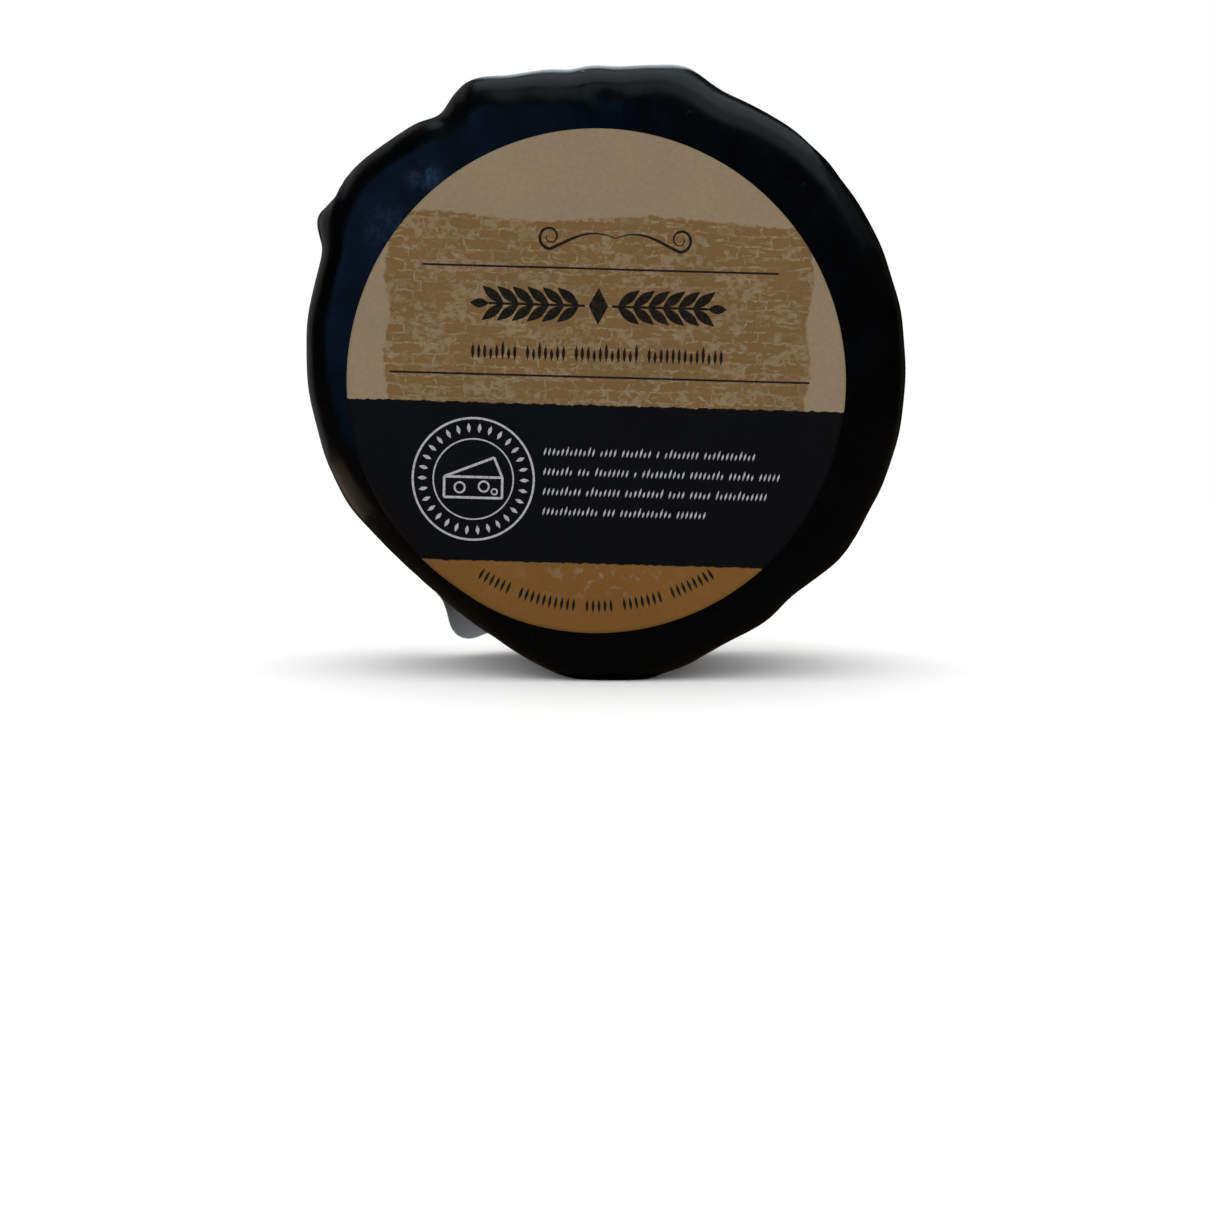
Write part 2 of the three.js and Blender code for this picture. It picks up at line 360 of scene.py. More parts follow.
@dataclass(frozen=True)
class KraftPrint:
    """Tan uncoated paper with a band of stones, a torn-edged black band and an ochre foot."""

    paper: Colour = (0.205, 0.150, 0.086)
    masonry: Colour = (0.140, 0.074, 0.022)
    ochre: Colour = (0.150, 0.064, 0.005)
    band: Colour = (0.0032, 0.0028, 0.0032)
    band_top: float = -2.8
    band_foot: float = -25.1
    size: float = 70.0
    fray: float = 0.9
    wear: float = 2.2
    blur: float = 0.05
    blot_strength: float = 0.65
    mark_strength: float = 0.85
    bare_roughness: float = 0.74
    inked_roughness: float = 0.52
    tooth: float = 0.020

    def make(self) -> Material:
        """Builds the material."""
        g = Graph("kraft_label")
        place = g.print_places(self.size)
        high = g.add("ShaderNodeSeparateXYZ", {0: place}).outputs[1]
        ragged = g.math("SUBTRACT", g.noise(place, 0.8, 5.0, 0.65), 0.5)
        fray = g.times(ragged, self.fray)
        level = g.math("ADD", high, fray)
        mottle = g.span(g.noise(place, 0.09, 3.0), 0.3, 0.7, 0.94, 1.05)
        fibre = g.span(g.noise(place, 1.6, 5.0, 0.75), 0.25, 0.75, 0.88, 1.11)

        worn = g.math("ADD", g.field(MASONRY_FIELD), g.times(fray, self.wear))
        stones = g.blend(self.stone_marks(g, place), self.masonry, self.paper)
        upper = g.blend(g.span(worn, -0.12, 0.12), self.paper, stones)
        blots = g.times(g.span(g.noise(place, 0.55, 4.0, 0.6), 0.55, 0.62), g.field(BLOT_FIELD))
        foot = g.blend(g.times(blots, self.blot_strength), self.ochre, self.paper)

        below = g.span(level, self.band_foot + self.blur, self.band_foot - self.blur)
        above = g.span(level, self.band_top - self.blur, self.band_top + self.blur)
        printed = g.blend(above, g.blend(below, self.band, foot), upper)
        colour = g.vector("SCALE", {0: printed, "Scale": g.times(mottle, fibre)})
        inked = g.times(g.math("SUBTRACT", 1.0, above), g.math("SUBTRACT", 1.0, below))
        rough = g.span(inked, 0.0, 1.0, self.bare_roughness, self.inked_roughness)
        tooth = g.bump(g.noise(place, 3.5, 4.0, 0.6), self.tooth)
        return g.done(colour, rough, PAPER_REFRACTION, tooth)

    def stone_marks(self, g: Graph, place: Socket) -> Socket:
        """Where paper shows between the printed stones: broken joints, flecks, bare stones."""
        bend = g.add("ShaderNodeTexNoise", {"Vector": place, "Scale": 0.35, "Detail": 3.0})
        bent = g.vector("MULTIPLY_ADD", {0: bend.outputs["Color"], 1: (2.2, 1.5, 0.0), 2: place})
        black, white = (0.0, 0.0, 0.0, 1.0), (1.0, 1.0, 1.0, 1.0)
        tones = {"Color1": black, "Color2": white, "Mortar": black}
        sizes = {"Mortar Size": 0.17, "Mortar Smooth": 0.6, "Brick Width": 2.9, "Row Height": 1.45}
        entries = {"Vector": bent, "Scale": 1.0, **tones, **sizes}
        stones = g.add("ShaderNodeTexBrick", entries, offset=0.5, squash=1.35, squash_frequency=3)
        patches = g.span(g.noise(place, 0.16), 0.34, 0.52)
        breaks = g.span(g.noise(place, 1.3, 3.0, 0.6), 0.43, 0.52)
        joints = g.times(stones.outputs["Fac"], g.times(patches, breaks))
        flat = g.vector("MULTIPLY", {0: bent, 1: (0.55, 1.6, 1.0)})
        flecks = g.span(g.noise(flat, 1.0, 3.0, 0.55), 0.555, 0.61)
        flecks = g.times(flecks, g.span(g.noise(place, 0.21), 0.42, 0.62))
        bare = g.span(stones.outputs["Color"], 0.56, 0.64, 0.0, 0.75)
        bare = g.times(bare, g.span(g.noise(place, 0.7, 4.0, 0.6), 0.46, 0.55))
        marks = g.math("MAXIMUM", g.math("MAXIMUM", joints, flecks), bare)
        return g.times(marks, self.mark_strength)


@dataclass(frozen=True)
class PlainPaper:
    """Plain paper: fibres, a little mottling and a fine tooth."""

    name: str
    colour: Colour
    roughness: float = 0.72
    darker: float = 0.95
    tooth: float = 0.015

    def make(self) -> Material:
        """Builds the material."""
        g = Graph(self.name)
        metres = g.places()
        dark = tuple(self.darker * part for part in self.colour)
        mottle = g.span(g.noise(metres, 500.0, 4.0, 0.65), 0.3, 0.7)
        tooth = g.bump(g.noise(metres, 2600.0, 3.0), self.tooth)
        return g.done(
            g.blend(mottle, dark, self.colour), self.roughness, PAPER_REFRACTION, tooth
        )


@dataclass(frozen=True)
class Ink:
    """Printing ink, a little patchy where the paper's tooth shows through."""

    name: str
    full: Colour
    thin: Colour
    roughness: float = 0.6
    refraction: float = 1.32

    def make(self) -> Material:
        """Builds the material."""
        g = Graph(self.name)
        patchy = g.span(g.noise(g.places(), 3200.0, 3.0, 0.6), 0.45, 0.75)
        return g.done(g.blend(patchy, self.full, self.thin), self.roughness, self.refraction)


# ---- The waxed cheese ----


class Side(Enum):
    """The two flat faces, by which way along Y each one looks."""

    FRONT = -1
    BACK = 1


@dataclass(frozen=True)
class Rise:
    """A bell curve of the direction about the axis."""

    angle: float
    rise: float
    spread: float

    def at(self, angle: Array) -> Array:
        """Its height in some directions."""
        return self.rise * bell(turn_between(self.angle, angle), self.spread)


@dataclass(frozen=True)
class Place(Rise):
    """Where the side wall stands out or falls short: a bell curve round it and through it."""

    y: float = 0.0
    reach: float = math.inf


@dataclass(frozen=True)
class Spot:
    """A small high or low spot of wax, as an oval bell curve on the wax's own surface.

    `depth` is measured over the surface from the front face's edge, and is negative on the
    face. `turn` tips the oval's long way from the rim's direction towards the back.
    """

    angle: float
    depth: float
    rise: float
    along: float
    across: float
    turn: float = 0.0


@dataclass(frozen=True)
class Streaks:
    """Fine marks that run from the face out over the shoulder: a sum of sines of the angle,
    times bell curves of the angle and of the depth."""

    seed: int
    angle: float
    spread: float
    depth: float
    reach: float
    height: float
    count: int = 14

    def at(self, angle: Array, depth: Array) -> Array:
        """Heights at directions and depths over the surface."""
        draw = np.random.default_rng(self.seed)
        pace = draw.uniform(40.0, 170.0, self.count)
        phase = draw.uniform(0.0, 2.0 * math.pi, self.count)
        lean = draw.uniform(-0.25, 0.25, self.count)
        around = np.radians(turn_between(self.angle, angle))
        swing = (around[..., None] + lean * depth[..., None] * 0.01) * pace + phase
        total = np.sin(swing).sum(axis=-1) / math.sqrt(self.count / 2.0)
        fade = bell(np.degrees(around), self.spread) * bell(depth - self.depth, self.reach)
        return self.height * total * fade


WALL_PLACES = {
    "full right side": Place(10, 0.35, 18),
    "high left side": Place(130, 2.4, 42),
    "slack lower left": Place(230, -3, 22, -19, 20),
    "settled bottom": Place(270, 1.9, 16),
    "dent lower right": Place(312, -1.3, 7, -8, 22),
    "tuck under the right": Place(293, -0.7, 9, -8, 22),
    "round right shoulder": Place(48, 0.9, 14),
    "top right corner": Place(76.5, 1.7, 6.5, -10, 26),
    "raised top": Place(82, 0.35, 22),
    "little step": Place(97, -0.4, 3, -14, 12),
    "fold of wax": Place(115, 1.2, 5, -14, 14),
    "tuck beside the fold": Place(123, -0.9, 3.2, -14, 14),
    "left crest": Place(141, 1.5, 8, -12, 24),
    "lump of wax": Place(151, 3, 4, -9, 8),
    "flank below the lump": Place(164, 0.4, 8, -10, 20),
}

SPOTS = {
    "fold line": Spot(118.5, 3.5, -0.20, 0.9, 3.0, 8),
    "fold lip": Spot(116.3, 3.0, 0.08, 1.5, 3.5, 8),
    "lump ridge": Spot(145.5, 4.8, 0.30, 3.4, 0.55, -22),
    "rough patch": Spot(134.0, -3.2, 0.10, 1.0, 0.5, 30),
    "rough patch, inner": Spot(132.5, -4.4, 0.10, 0.9, 0.5, 20),
    "rough patch, end": Spot(136.0, -4.0, 0.08, 0.6, 0.5),
    "corner ridge": Spot(47, 3.8, 0.22, 3.8, 0.8, 18),
    "corner ridge, outer": Spot(44, 5.6, 0.20, 3.4, 0.8, 24),
    "top dimple": Spot(92, 0.8, -0.18, 2.0, 1.2),
    "right thumb print": Spot(352, 20.0, -0.70, 9.0, 6.0, 20),
    "right drip": Spot(22, 17.0, 0.35, 1.0, 4.5, 6),
    "left thumb print": Spot(187, 19.0, -0.75, 8.0, 6.5, -25),
    "left flow": Spot(203, 15.0, 0.35, 9.0, 1.2, 12),
    "top thumb print": Spot(66, 22.0, -0.60, 9.0, 6.0, 10),
    "front drip line": Spot(30, 10.5, 0.22, 7.0, 1.1, 4),
    "front drip line, next": Spot(12, 11.5, 0.20, 6.0, 1.0, -5),
    "drip": Spot(355, 13.5, 0.30, 1.3, 3.2, 0),
    "left drip": Spot(172, 22.0, 0.32, 1.2, 3.4, 8),
    "left drip line": Spot(185, 11.5, 0.20, 8.0, 1.1, 3),
    "top run": Spot(100, 19.0, 0.35, 1.6, 6.0, 12),
    "back pinch": Spot(100, 37.0, 0.70, 1.2, 2.6, 20),
    "back pinch hollow": Spot(103, 36.0, -0.55, 1.6, 2.4, 20),
    "back run": Spot(20, 40.0, 0.35, 5.0, 1.4, -10),
}

# Spots of painted blue sheen, a painted reflection of blue light on the wax; each rise is how
# strongly it shows.
PAINTED_SHEEN_SPOTS = {
    "painted blue sheen on the rough patch": Spot(133.0, -3.7, 1.0, 1.8, 1.5),
    "faint painted blue sheen": Spot(146.5, -3.8, 0.4, 3.0, 2.0),
    "painted blue sheen on the back": Spot(60, 62.0, 0.5, 2.5, 1.8, 30),
}


@dataclass
class WaxedCheese:
    """The one solid of the cheese: a soft drum with rounded edges and a flat foot.

    The wall's radius is the drum's, plus a swell of 1 less the square of the depth over half the
    straight wall, plus each place's bell curves. A rounded edge is a quarter circle inside it.
    """

    axis_x: float
    axis_z: float
    radius: float = 42.35
    thickness: float = 37.0
    shoulder: float = 4.2
    swell: float = 0.6
    softer: tuple[Rise, ...] = (Rise(226.0, 2.6, 30.0), Rise(88.0, 2.4, 30.0))
    columns: int = 720
    face_rings: int = 14
    shoulder_rings: int = 16
    wall_rings: int = 34
    unevenness: tuple[Waves, ...] = (Waves(11, 17.0, 0.10), Waves(12, 6.5, 0.035))
    streaks: tuple[Streaks, ...] = (
        Streaks(21, 76.0, 22.0, 2.0, 4.5, 0.007),
        Streaks(22, 210.0, 28.0, 5.0, 4.0, 0.008),
        Streaks(23, 320.0, 30.0, 4.0, 5.0, 0.007),
    )
    under_label: float = 0.3
    under_label_fade: tuple[float, float] = (27.0, 31.5)
    face_calm: float = 0.4
    flat_shares: tuple[float, ...] = (0.1, 0.3, 0.5, 0.7)
    rim_share: float = 0.80

    def wall_radius(self, angle: Array, y: Array) -> Array:
        """Radius of the side wall at a direction and depth, before the foot is pressed flat."""
        straight = self.thickness / 2 - self.shoulder
        level = np.clip(y / straight, -1.0, 1.0)
        radius = self.radius + self.swell * (1.0 - level * level)
        for place in WALL_PLACES.values():
            radius = radius + place.at(angle) * bell(y - place.y, place.reach)
        return radius

    def shoulder_size(self, angle: Array, side: Side) -> Array:
        """Radius of a rounded edge; the front one is softer in two places."""
        size = np.full_like(angle, self.shoulder)
        if side is Side.FRONT:
            for stretch in self.softer:
                size = size + stretch.at(angle)
        return size

    def face_edge(self, angle: Array, side: Side) -> Array:
        """Distance from the axis at which a face starts to round over."""
        y = np.full_like(angle, side.value * self.thickness / 2)
        return self.wall_radius(angle, y) - self.shoulder_size(angle, side)

    def girth(self, angle: Array) -> Array:
        """Length over the surface from the front face's edge to the back face's edge."""
        front = self.shoulder_size(angle, Side.FRONT)
        back = self.shoulder_size(angle, Side.BACK)
        return self.thickness + (math.pi / 2 - 1) * (front + back)

    def relief(self, angle: Array, depth: Array, points: Array) -> Array:
        """Height of the spots, streaks and waves over the smooth drum; the front face is calmer."""
        height = sum(waves.at(points) for waves in self.unevenness)
        height = height * (self.face_calm + (1 - self.face_calm) * ease(depth, -1.0, 3.0))
        for streaks in self.streaks:
            height = height + streaks.at(angle, depth)
        return height + self.spots(SPOTS, angle, depth)

    def spots(self, spots: dict[str, Spot], angle: Array, depth: Array) -> Array:
        """Sum of the spots' bells, each long one way and short the other."""
        total = np.zeros(np.broadcast(angle, depth).shape)
        for spot in spots.values():
            around = np.radians(turn_between(spot.angle, angle)) * self.radius
            past = depth - spot.depth
            c, s = math.cos(math.radians(spot.turn)), math.sin(math.radians(spot.turn))
            along, across = around * c + past * s, past * c - around * s
            total = total + spot.rise * bell(along, spot.along) * bell(across, spot.across)
        return total

    def at(self, angle: Array, side: Side, reach: Array, lift: Array | float = 0.0) -> Array:
        """Points of the wax's surface.

        Args:
            angle: direction about the axis.
            side: the face that the reach starts from.
            reach: distance from the axis over the surface, flat to the face's edge, round the
                shoulder and then along the wall.
            lift: height over the wax, along its outward normal.

        Returns:
            Points in millimetres, shape (..., 3).
        """
        size = self.shoulder_size(angle, side)
        edge = self.face_edge(angle, side)
        past = reach - edge
        tilt = np.clip(past / size, 0.0, math.pi / 2)
        along_wall = np.maximum(past - size * math.pi / 2, 0.0)
        y = side.value * (self.thickness / 2 - size * (1 - np.cos(tilt)) - along_wall)
        rounded = self.wall_radius(angle, y) - size * (1 - np.sin(tilt))
        radius = np.where(past < 0, reach, rounded)
        depth = past if side is Side.FRONT else self.girth(angle) - past
        smooth = self.place(angle, radius, y)
        rise = self.relief(angle, depth, smooth) + lift
        return self.place(
            angle, radius + rise * np.sin(tilt), y + rise * side.value * np.cos(tilt)
        )

    def place(self, angle: Array, radius: Array, y: Array) -> Array:
        """From a direction, a distance from the axis and a depth to X, Y and Z."""
        turn = np.radians(angle)
        x = self.axis_x + radius * np.cos(turn)
        return np.stack([x, y, self.axis_z + radius * np.sin(turn)], axis=-1)

    def half_reaches(self, angle: Array, side: Side) -> Array:
        """How far over the surface each ring of one half is, shape (rings, columns)."""
        size = self.shoulder_size(angle, side)
        edge = self.face_edge(angle, side)
        flat = np.array(self.flat_shares)[:, None] * edge
        rim = np.linspace(self.rim_share, 1.0, self.face_rings)[:, None] * edge
        turning = np.linspace(0.0, 1.0, self.shoulder_rings + 1)[1:, None]
        shoulder = edge + turning * size * math.pi / 2
        straight = self.thickness / 2 - size
        down = np.linspace(0.0, 1.0, self.wall_rings + 1)[1:, None]
        return np.vstack([flat, rim, shoulder, shoulder[-1] + down * straight])

    def build(self) -> None:
        """Builds the closed body, from the front face's middle to the back face's."""
        angle = np.arange(self.columns) * 360.0 / self.columns
        halves, painted_sheens = [], []
        for side in Side:
            reach = self.half_reaches(angle, side)
            turns = np.broadcast_to(angle, reach.shape)
            past = reach - self.face_edge(angle, side)
            depth = past if side is Side.FRONT else self.girth(angle) - past
            # How strongly the painted blue sheen shows at each ring point.
            painted_sheens.append(self.spots(PAINTED_SHEEN_SPOTS, turns, depth))
            hidden = self.under_label * (1.0 - ease(reach, *self.under_label_fade))
            halves.append(self.at(turns, side, reach, -hidden))
        rings = np.concatenate([halves[0], halves[1][-2::-1]])
        rings[..., 2] = np.maximum(rings[..., 2], 0.0)
        middle = np.zeros(1)
        front = self.at(middle, Side.FRONT, middle, -self.under_label)[0]
        back = self.at(middle, Side.BACK, middle, -self.under_label)[0]
        piece = ring_body("cheese_in_wax", front, rings, back)
        # The painted blue sheen's strength is kept as a vertex field for the wax material.
        field = np.concatenate([painted_sheens[0], painted_sheens[1][-2::-1]]).ravel()
        write_vertex_values(piece, PAINTED_SHEEN_FIELD, np.concatenate([[0.0], field, [0.0]]))
        piece.data.materials.append(BlackWax().make())
        keep(piece, "black_wax", "waxed_cheese")


# ---- The labels ----


class Paper(Protocol):
    """A label that can say where a point of its print is."""

    def at(self, across: Array, up: Array, lift: float) -> Array:
        """Points over the wax, from places on the flat label and a height."""


def sheet_body(
    name: str, label: Paper, places: tuple[Array, Array], heights: tuple[float, float]
) -> Piece:
    """A closed sheet: rings out over its face, over its cut edge and back underneath. The
    places are across and up the flat label; the heights are its face's and its underside's."""
    face, under = (label.at(*places, height) for height in heights)
    poles = [label.at(np.zeros(1), np.zeros(1), height)[0] for height in heights]
    return ring_body(name, poles[0], np.concatenate([face, under[::-1]]), poles[1])


@dataclass
class FrontLabel:
    """The round label, stuck on the front face and just over the slack lower left edge."""

    wax: WaxedCheese
    centre_x: float
    centre_z: float
    radius: float = 35.0
    paper: float = 0.12
    glue: float = 0.02
    print_turn: float = -1.6
    masonry_top: float = 22.8
    masonry_half: float = 29.5
    blot_middle: tuple[float, float] = (1.5, -27.0)
    blot_size: tuple[float, float] = (9.0, 3.0)
    columns: int = 240
    rings: int = 60

    def at(self, across: Array, up: Array, lift: float) -> Array:
        """Points over the wax at places of the print, turned with it."""
        turn = math.radians(self.print_turn)
        x = across * math.cos(turn) - up * math.sin(turn) + self.centre_x - self.wax.axis_x
        z = across * math.sin(turn) + up * math.cos(turn) + self.centre_z - self.wax.axis_z
        angle = np.degrees(np.arctan2(z, x))
        return self.wax.at(angle, Side.FRONT, np.hypot(x, z), lift)

    def masonry(self, across: Array, up: Array) -> Array:
        """How deep a place lies inside the printed band of stones: the least of its depths below
        a level, lightly worn top line and inside two worn ends, the same on both sides."""
        top = self.masonry_top + 0.5 * np.sin(across / 5.3)
        side = self.masonry_half - np.abs(across) + 0.4 * np.sin(up / 1.9)
        return np.minimum(top - up, side)

    def build(self) -> None:
        """Builds the paper, with print on its face and bare paper at its edge and underneath."""
        turn = np.arange(self.columns) * 2 * math.pi / self.columns
        share = np.linspace(0.0, 1.0, self.rings + 1)[1:]
        across = self.radius * share[:, None] * np.cos(turn)
        up = self.radius * share[:, None] * np.sin(turn)
        heights = (self.glue + self.paper, self.glue)
        piece = sheet_body("round_label", self, (across, up), heights)

        flat = np.stack([across, up], axis=-1)
        flat = np.concatenate([flat, flat[::-1]]).reshape(-1, 2)
        flat = np.vstack([[[0.0, 0.0]], flat, [[0.0, 0.0]]])
        write_corner_values(piece, PRINT_MAP, flat / (2 * self.radius) + 0.5)
        write_vertex_values(piece, MASONRY_FIELD, self.masonry(flat[:, 0], flat[:, 1]))
        across, up = self.blot_middle
        wide, tall = self.blot_size
        spread = bell(flat[:, 0] - across, wide) * bell(flat[:, 1] - up, tall)
        write_vertex_values(piece, BLOT_FIELD, spread)
        for finish in (KraftPrint(), PlainPaper("cut_paper", (0.36, 0.31, 0.24))):
            piece.data.materials.append(finish.make())
        bare = np.arange(len(piece.data.polygons)) >= self.columns * self.rings
        piece.data.polygons.foreach_set("material_index", bare.astype(np.int32))
        keep(piece, "kraft_label", "front_label")


@dataclass
class ReverseLabel:
    """The rounded rectangle on the back, whose corners wrap on to the wall; one stands free."""

    wax: WaxedCheese
    width: float = 84.0
    height: float = 60.0
    corner: float = 4.0
    turn: float = 23.5
    free_spread: float = 8.0
    free_lift: float = 0.42
    paper: float = 0.14
    glue: float = 0.04
    side_columns: int = 60
    corner_columns: int = 14
    inner_rings: int = 40
    outer_rings: int = 56
    folds: tuple[Rise, ...] = (
        Rise(53.0, 0.55, 1.1),
        Rise(58.2, 0.80, 0.9),
        Rise(63.5, 0.60, 1.3),
        Rise(161.0, 0.50, 1.2),
        Rise(165.6, 0.75, 0.9),
        Rise(171.5, 0.70, 1.1),
        Rise(229.5, 0.45, 1.4),
        Rise(248.5, 0.45, 1.4),
        Rise(342.0, 0.60, 1.1),
        Rise(346.5, 0.85, 1.0),
        Rise(352.5, 0.50, 1.3),
    )
    unevenness: Waves = Waves(31, 7.0, 0.05)

    @property
    def free_corner(self) -> float:
        """Direction of the corner that has come unstuck."""
        return 180.0 + self.turn + math.degrees(math.atan2(self.height, self.width))

    def at(self, across: Array, up: Array, lift: float) -> Array:
        """Points over the wax at places of the flat label, as seen from behind.

        The sheet is flat to the face's edge, turns over the shoulder and runs on along the
        wall. Near the free corner it turns by less than the wax does.
        """
        angle = np.degrees(np.arctan2(up, -across)) + self.turn
        reach = np.hypot(across, up)
        size = self.wax.shoulder_size(angle, Side.BACK)
        edge = self.wax.face_edge(angle, Side.BACK)
        past = np.maximum(reach - edge, 0.0)
        loose = bell(turn_between(self.free_corner, angle), self.free_spread)
        stuck = 1.0 - self.free_lift * loose
        curve = stuck / size
        bend = curve * np.minimum(past, size * math.pi / 2)
        beyond = np.maximum(past - size * math.pi / 2, 0.0)
        back = self.wax.thickness / 2
        y = back - (1 - np.cos(bend)) / curve - beyond * np.sin(bend)
        face_y = np.full_like(y, back)
        fuller = self.wax.wall_radius(angle, y) - self.wax.wall_radius(angle, face_y)
        radius = edge + np.sin(bend) / curve + beyond * np.cos(bend) + stuck * fuller
        radius = np.where(reach < edge, reach, radius)
        smooth = self.wax.place(angle, radius, y)
        depth = self.wax.girth(angle) - (reach - edge)
        relief = self.wax.relief(angle, depth, smooth)
        rise = relief * stuck + self.crinkle(angle, past, smooth) + self.glue + lift
        return self.wax.place(angle, radius + rise * np.sin(bend), y + rise * np.cos(bend))

    def crinkle(self, angle: Array, past: Array, points: Array) -> Array:
        """Height of the folds, growing over the first millimetres past the face's edge."""
        growth = ease(past, 0.3, 6.0)
        height = np.abs(self.unevenness.at(points)) * ease(past, 0.0, 3.0)
        for pinch in self.folds:
            height = height + pinch.rise * growth * bell(
                turn_between(pinch.angle, angle), pinch.spread
            )
        return height

    def outline(self) -> Array:
        """The rounded rectangle's edge, anticlockwise from its right side, shape (count, 2)."""
        x, y = self.width / 2 - self.corner, self.height / 2 - self.corner
        turn = np.linspace(0.0, math.pi / 2, self.corner_columns)
        parts = []
        for quarter, (middle_x, middle_y) in enumerate(((x, y), (-x, y), (-x, -y), (x, -y))):
            round_turn = turn + quarter * math.pi / 2
            arc = np.stack([np.cos(round_turn), np.sin(round_turn)], axis=-1) * self.corner
            parts.append(arc + (middle_x, middle_y))
        sides = []
        share = np.linspace(0.0, 1.0, self.side_columns)[1:-1, None]
        for arc, following in zip(parts, parts[1:] + parts[:1]):
            sides.extend([arc, arc[-1] + share * (following[0] - arc[-1])])
        return np.concatenate(sides)

    def build(self) -> None:
        """Builds the paper; its rings stand closer where it turns and folds."""
        outline = self.outline()
        inner = np.linspace(0.0, 0.68, self.inner_rings)[1:]
        share = np.concatenate([inner, np.linspace(0.70, 1.0, self.outer_rings)])
        flat = share[:, None, None] * outline
        across, up = flat[..., 0], flat[..., 1]
        piece = sheet_body("reverse_label_sheet", self, (across, up), (self.paper, 0.0))
        piece.data.materials.append(PlainPaper("white_label", (0.76, 0.75, 0.73)).make())
        keep(piece, "white_label", "reverse_label")


# ---- What is printed: ornament and plain rules in place of words ----


LEAF_STEPS = 9
RULE_STEPS = 40


@dataclass(frozen=True)
class Strokes:
    """Strokes of ink of one kind on a flat label.

    `lines` holds the middle of each stroke, shape (strokes, points, 2), and `halves` half its
    width there, shape (strokes, points). A closed stroke joins its last point to its first.
    """

    lines: Array
    halves: Array
    closed: bool = False

    def moved(self, across: float, up: float) -> Strokes:
        """The same strokes, moved."""
        return Strokes(self.lines + (across, up), self.halves, self.closed)


def compass(turns: Array) -> Array:
    """Steps of length 1 in flat directions, shape (count, 2)."""
    return np.stack([np.cos(np.radians(turns)), np.sin(np.radians(turns))], axis=-1)


def leaves(feet: Array, turns: Array, length: float, width: float) -> Strokes:
    """Leaf-shaped strokes: each runs straight from its foot, as wide as a sine arch. The feet
    are of shape (count, 2), and the turns say which way each leaf points."""
    share = np.linspace(0.0, 1.0, LEAF_STEPS)
    lines = feet[:, None] + compass(turns)[:, None] * (share * length)[None, :, None]
    arch = np.maximum(np.sin(share * math.pi), 0.08) * width / 2
    return Strokes(lines, np.broadcast_to(arch, lines.shape[:2]))


def rules(starts: Array, ends: Array, width: float) -> Strokes:
    """Straight rules between starts and ends, both of shape (count, 2)."""
    share = np.linspace(0.0, 1.0, RULE_STEPS)[None, :, None]
    lines = starts[:, None] + share * (ends - starts)[:, None]
    return Strokes(lines, np.full(lines.shape[:2], width / 2))


def ruled(columns: Sequence[float], rows: Sequence[float], width: float) -> Strokes:
    """An empty ruled box: lines down it at the columns and across it at the rows."""
    starts = [(x, max(rows)) for x in columns] + [(min(columns), y) for y in rows]
    ends = [(x, min(rows)) for x in columns] + [(max(columns), y) for y in rows]
    return rules(np.array(starts), np.array(ends), width)


def rings(middles: Array, radius: float, width: float, steps: int = 48) -> Strokes:
    """Closed rings about middles, shape (count, 2)."""
    turn = np.arange(steps) * 2 * math.pi / steps
    circle = np.stack([np.cos(turn), np.sin(turn)], axis=-1) * radius
    lines = middles[:, None] + circle
    return Strokes(lines, np.full(lines.shape[:2], width / 2), closed=True)


@dataclass(frozen=True)
class Grains:
    """Leaning grains that stand in groups on a line, in place of words.

    Every third grain is a little shorter and every fifth one taller, so a row has an even,
    woven look.
    """

    pitch: float
    gap: float
    tall: float
    wide: float
    lean: float = 0.0

    def starts(self, groups: tuple[int, ...]) -> Array:
        """Where the grains stand along their line."""
        counts = np.concatenate([[0], np.cumsum(groups)])
        number = np.arange(counts[-1])
        group = np.searchsorted(counts, number, side="right") - 1
        return number * self.pitch + group * self.gap

    def row(self, groups: tuple[int, ...], across: float, up: float) -> Strokes:
        """A level row of grains, from its left end."""
        x = self.starts(groups)
        number = np.arange(len(x))
        feet = np.stack([x, np.zeros_like(x)], axis=-1)
        grains = leaves(feet, np.full(len(x), 90.0 - self.lean), 1.0, self.wide)
        scale = self.tall * (1.0 - 0.22 * (number % 3 == 0) + 0.25 * (number % 5 == 0))
        lines = feet[:, None] + (grains.lines - feet[:, None]) * scale[:, None, None]
        return Strokes(lines, grains.halves).moved(across, up)


def flourish(width: float, height: float) -> Strokes:
    """A pen flourish, the same on both sides of its middle: each half is a spiral whose radius
    shrinks evenly while it winds inwards, led in by a long sweep from the middle."""
    share = np.linspace(0.0, 1.0, 90)
    sweep, curl_size, tighten, half_turns = 0.52, 0.42, 0.72, 2.6
    thin, swell = 0.07, 0.13
    t = np.clip(share / sweep, 0.0, 1.0)
    wind = np.clip((share - sweep) / (1 - sweep), 0.0, 1.0)
    curl = height * curl_size * (1 - tighten * wind)
    turn = -math.pi / 2 + wind * half_turns * math.pi
    middle = width / 2 - height * curl_size
    x = np.where(share < sweep, middle * t, middle + curl * np.cos(turn))
    dip = -curl_size * height * np.sin(t * math.pi / 2) ** 2 + 0.30 * height * np.sin(t * math.pi)
    y = np.where(share < sweep, dip, curl * np.sin(turn))
    halves = thin + swell * np.sin(share * math.pi) ** 2
    lines = np.stack([np.stack([x, y], -1), np.stack([-x, y], -1)])
    return Strokes(lines, np.stack([halves, halves]))


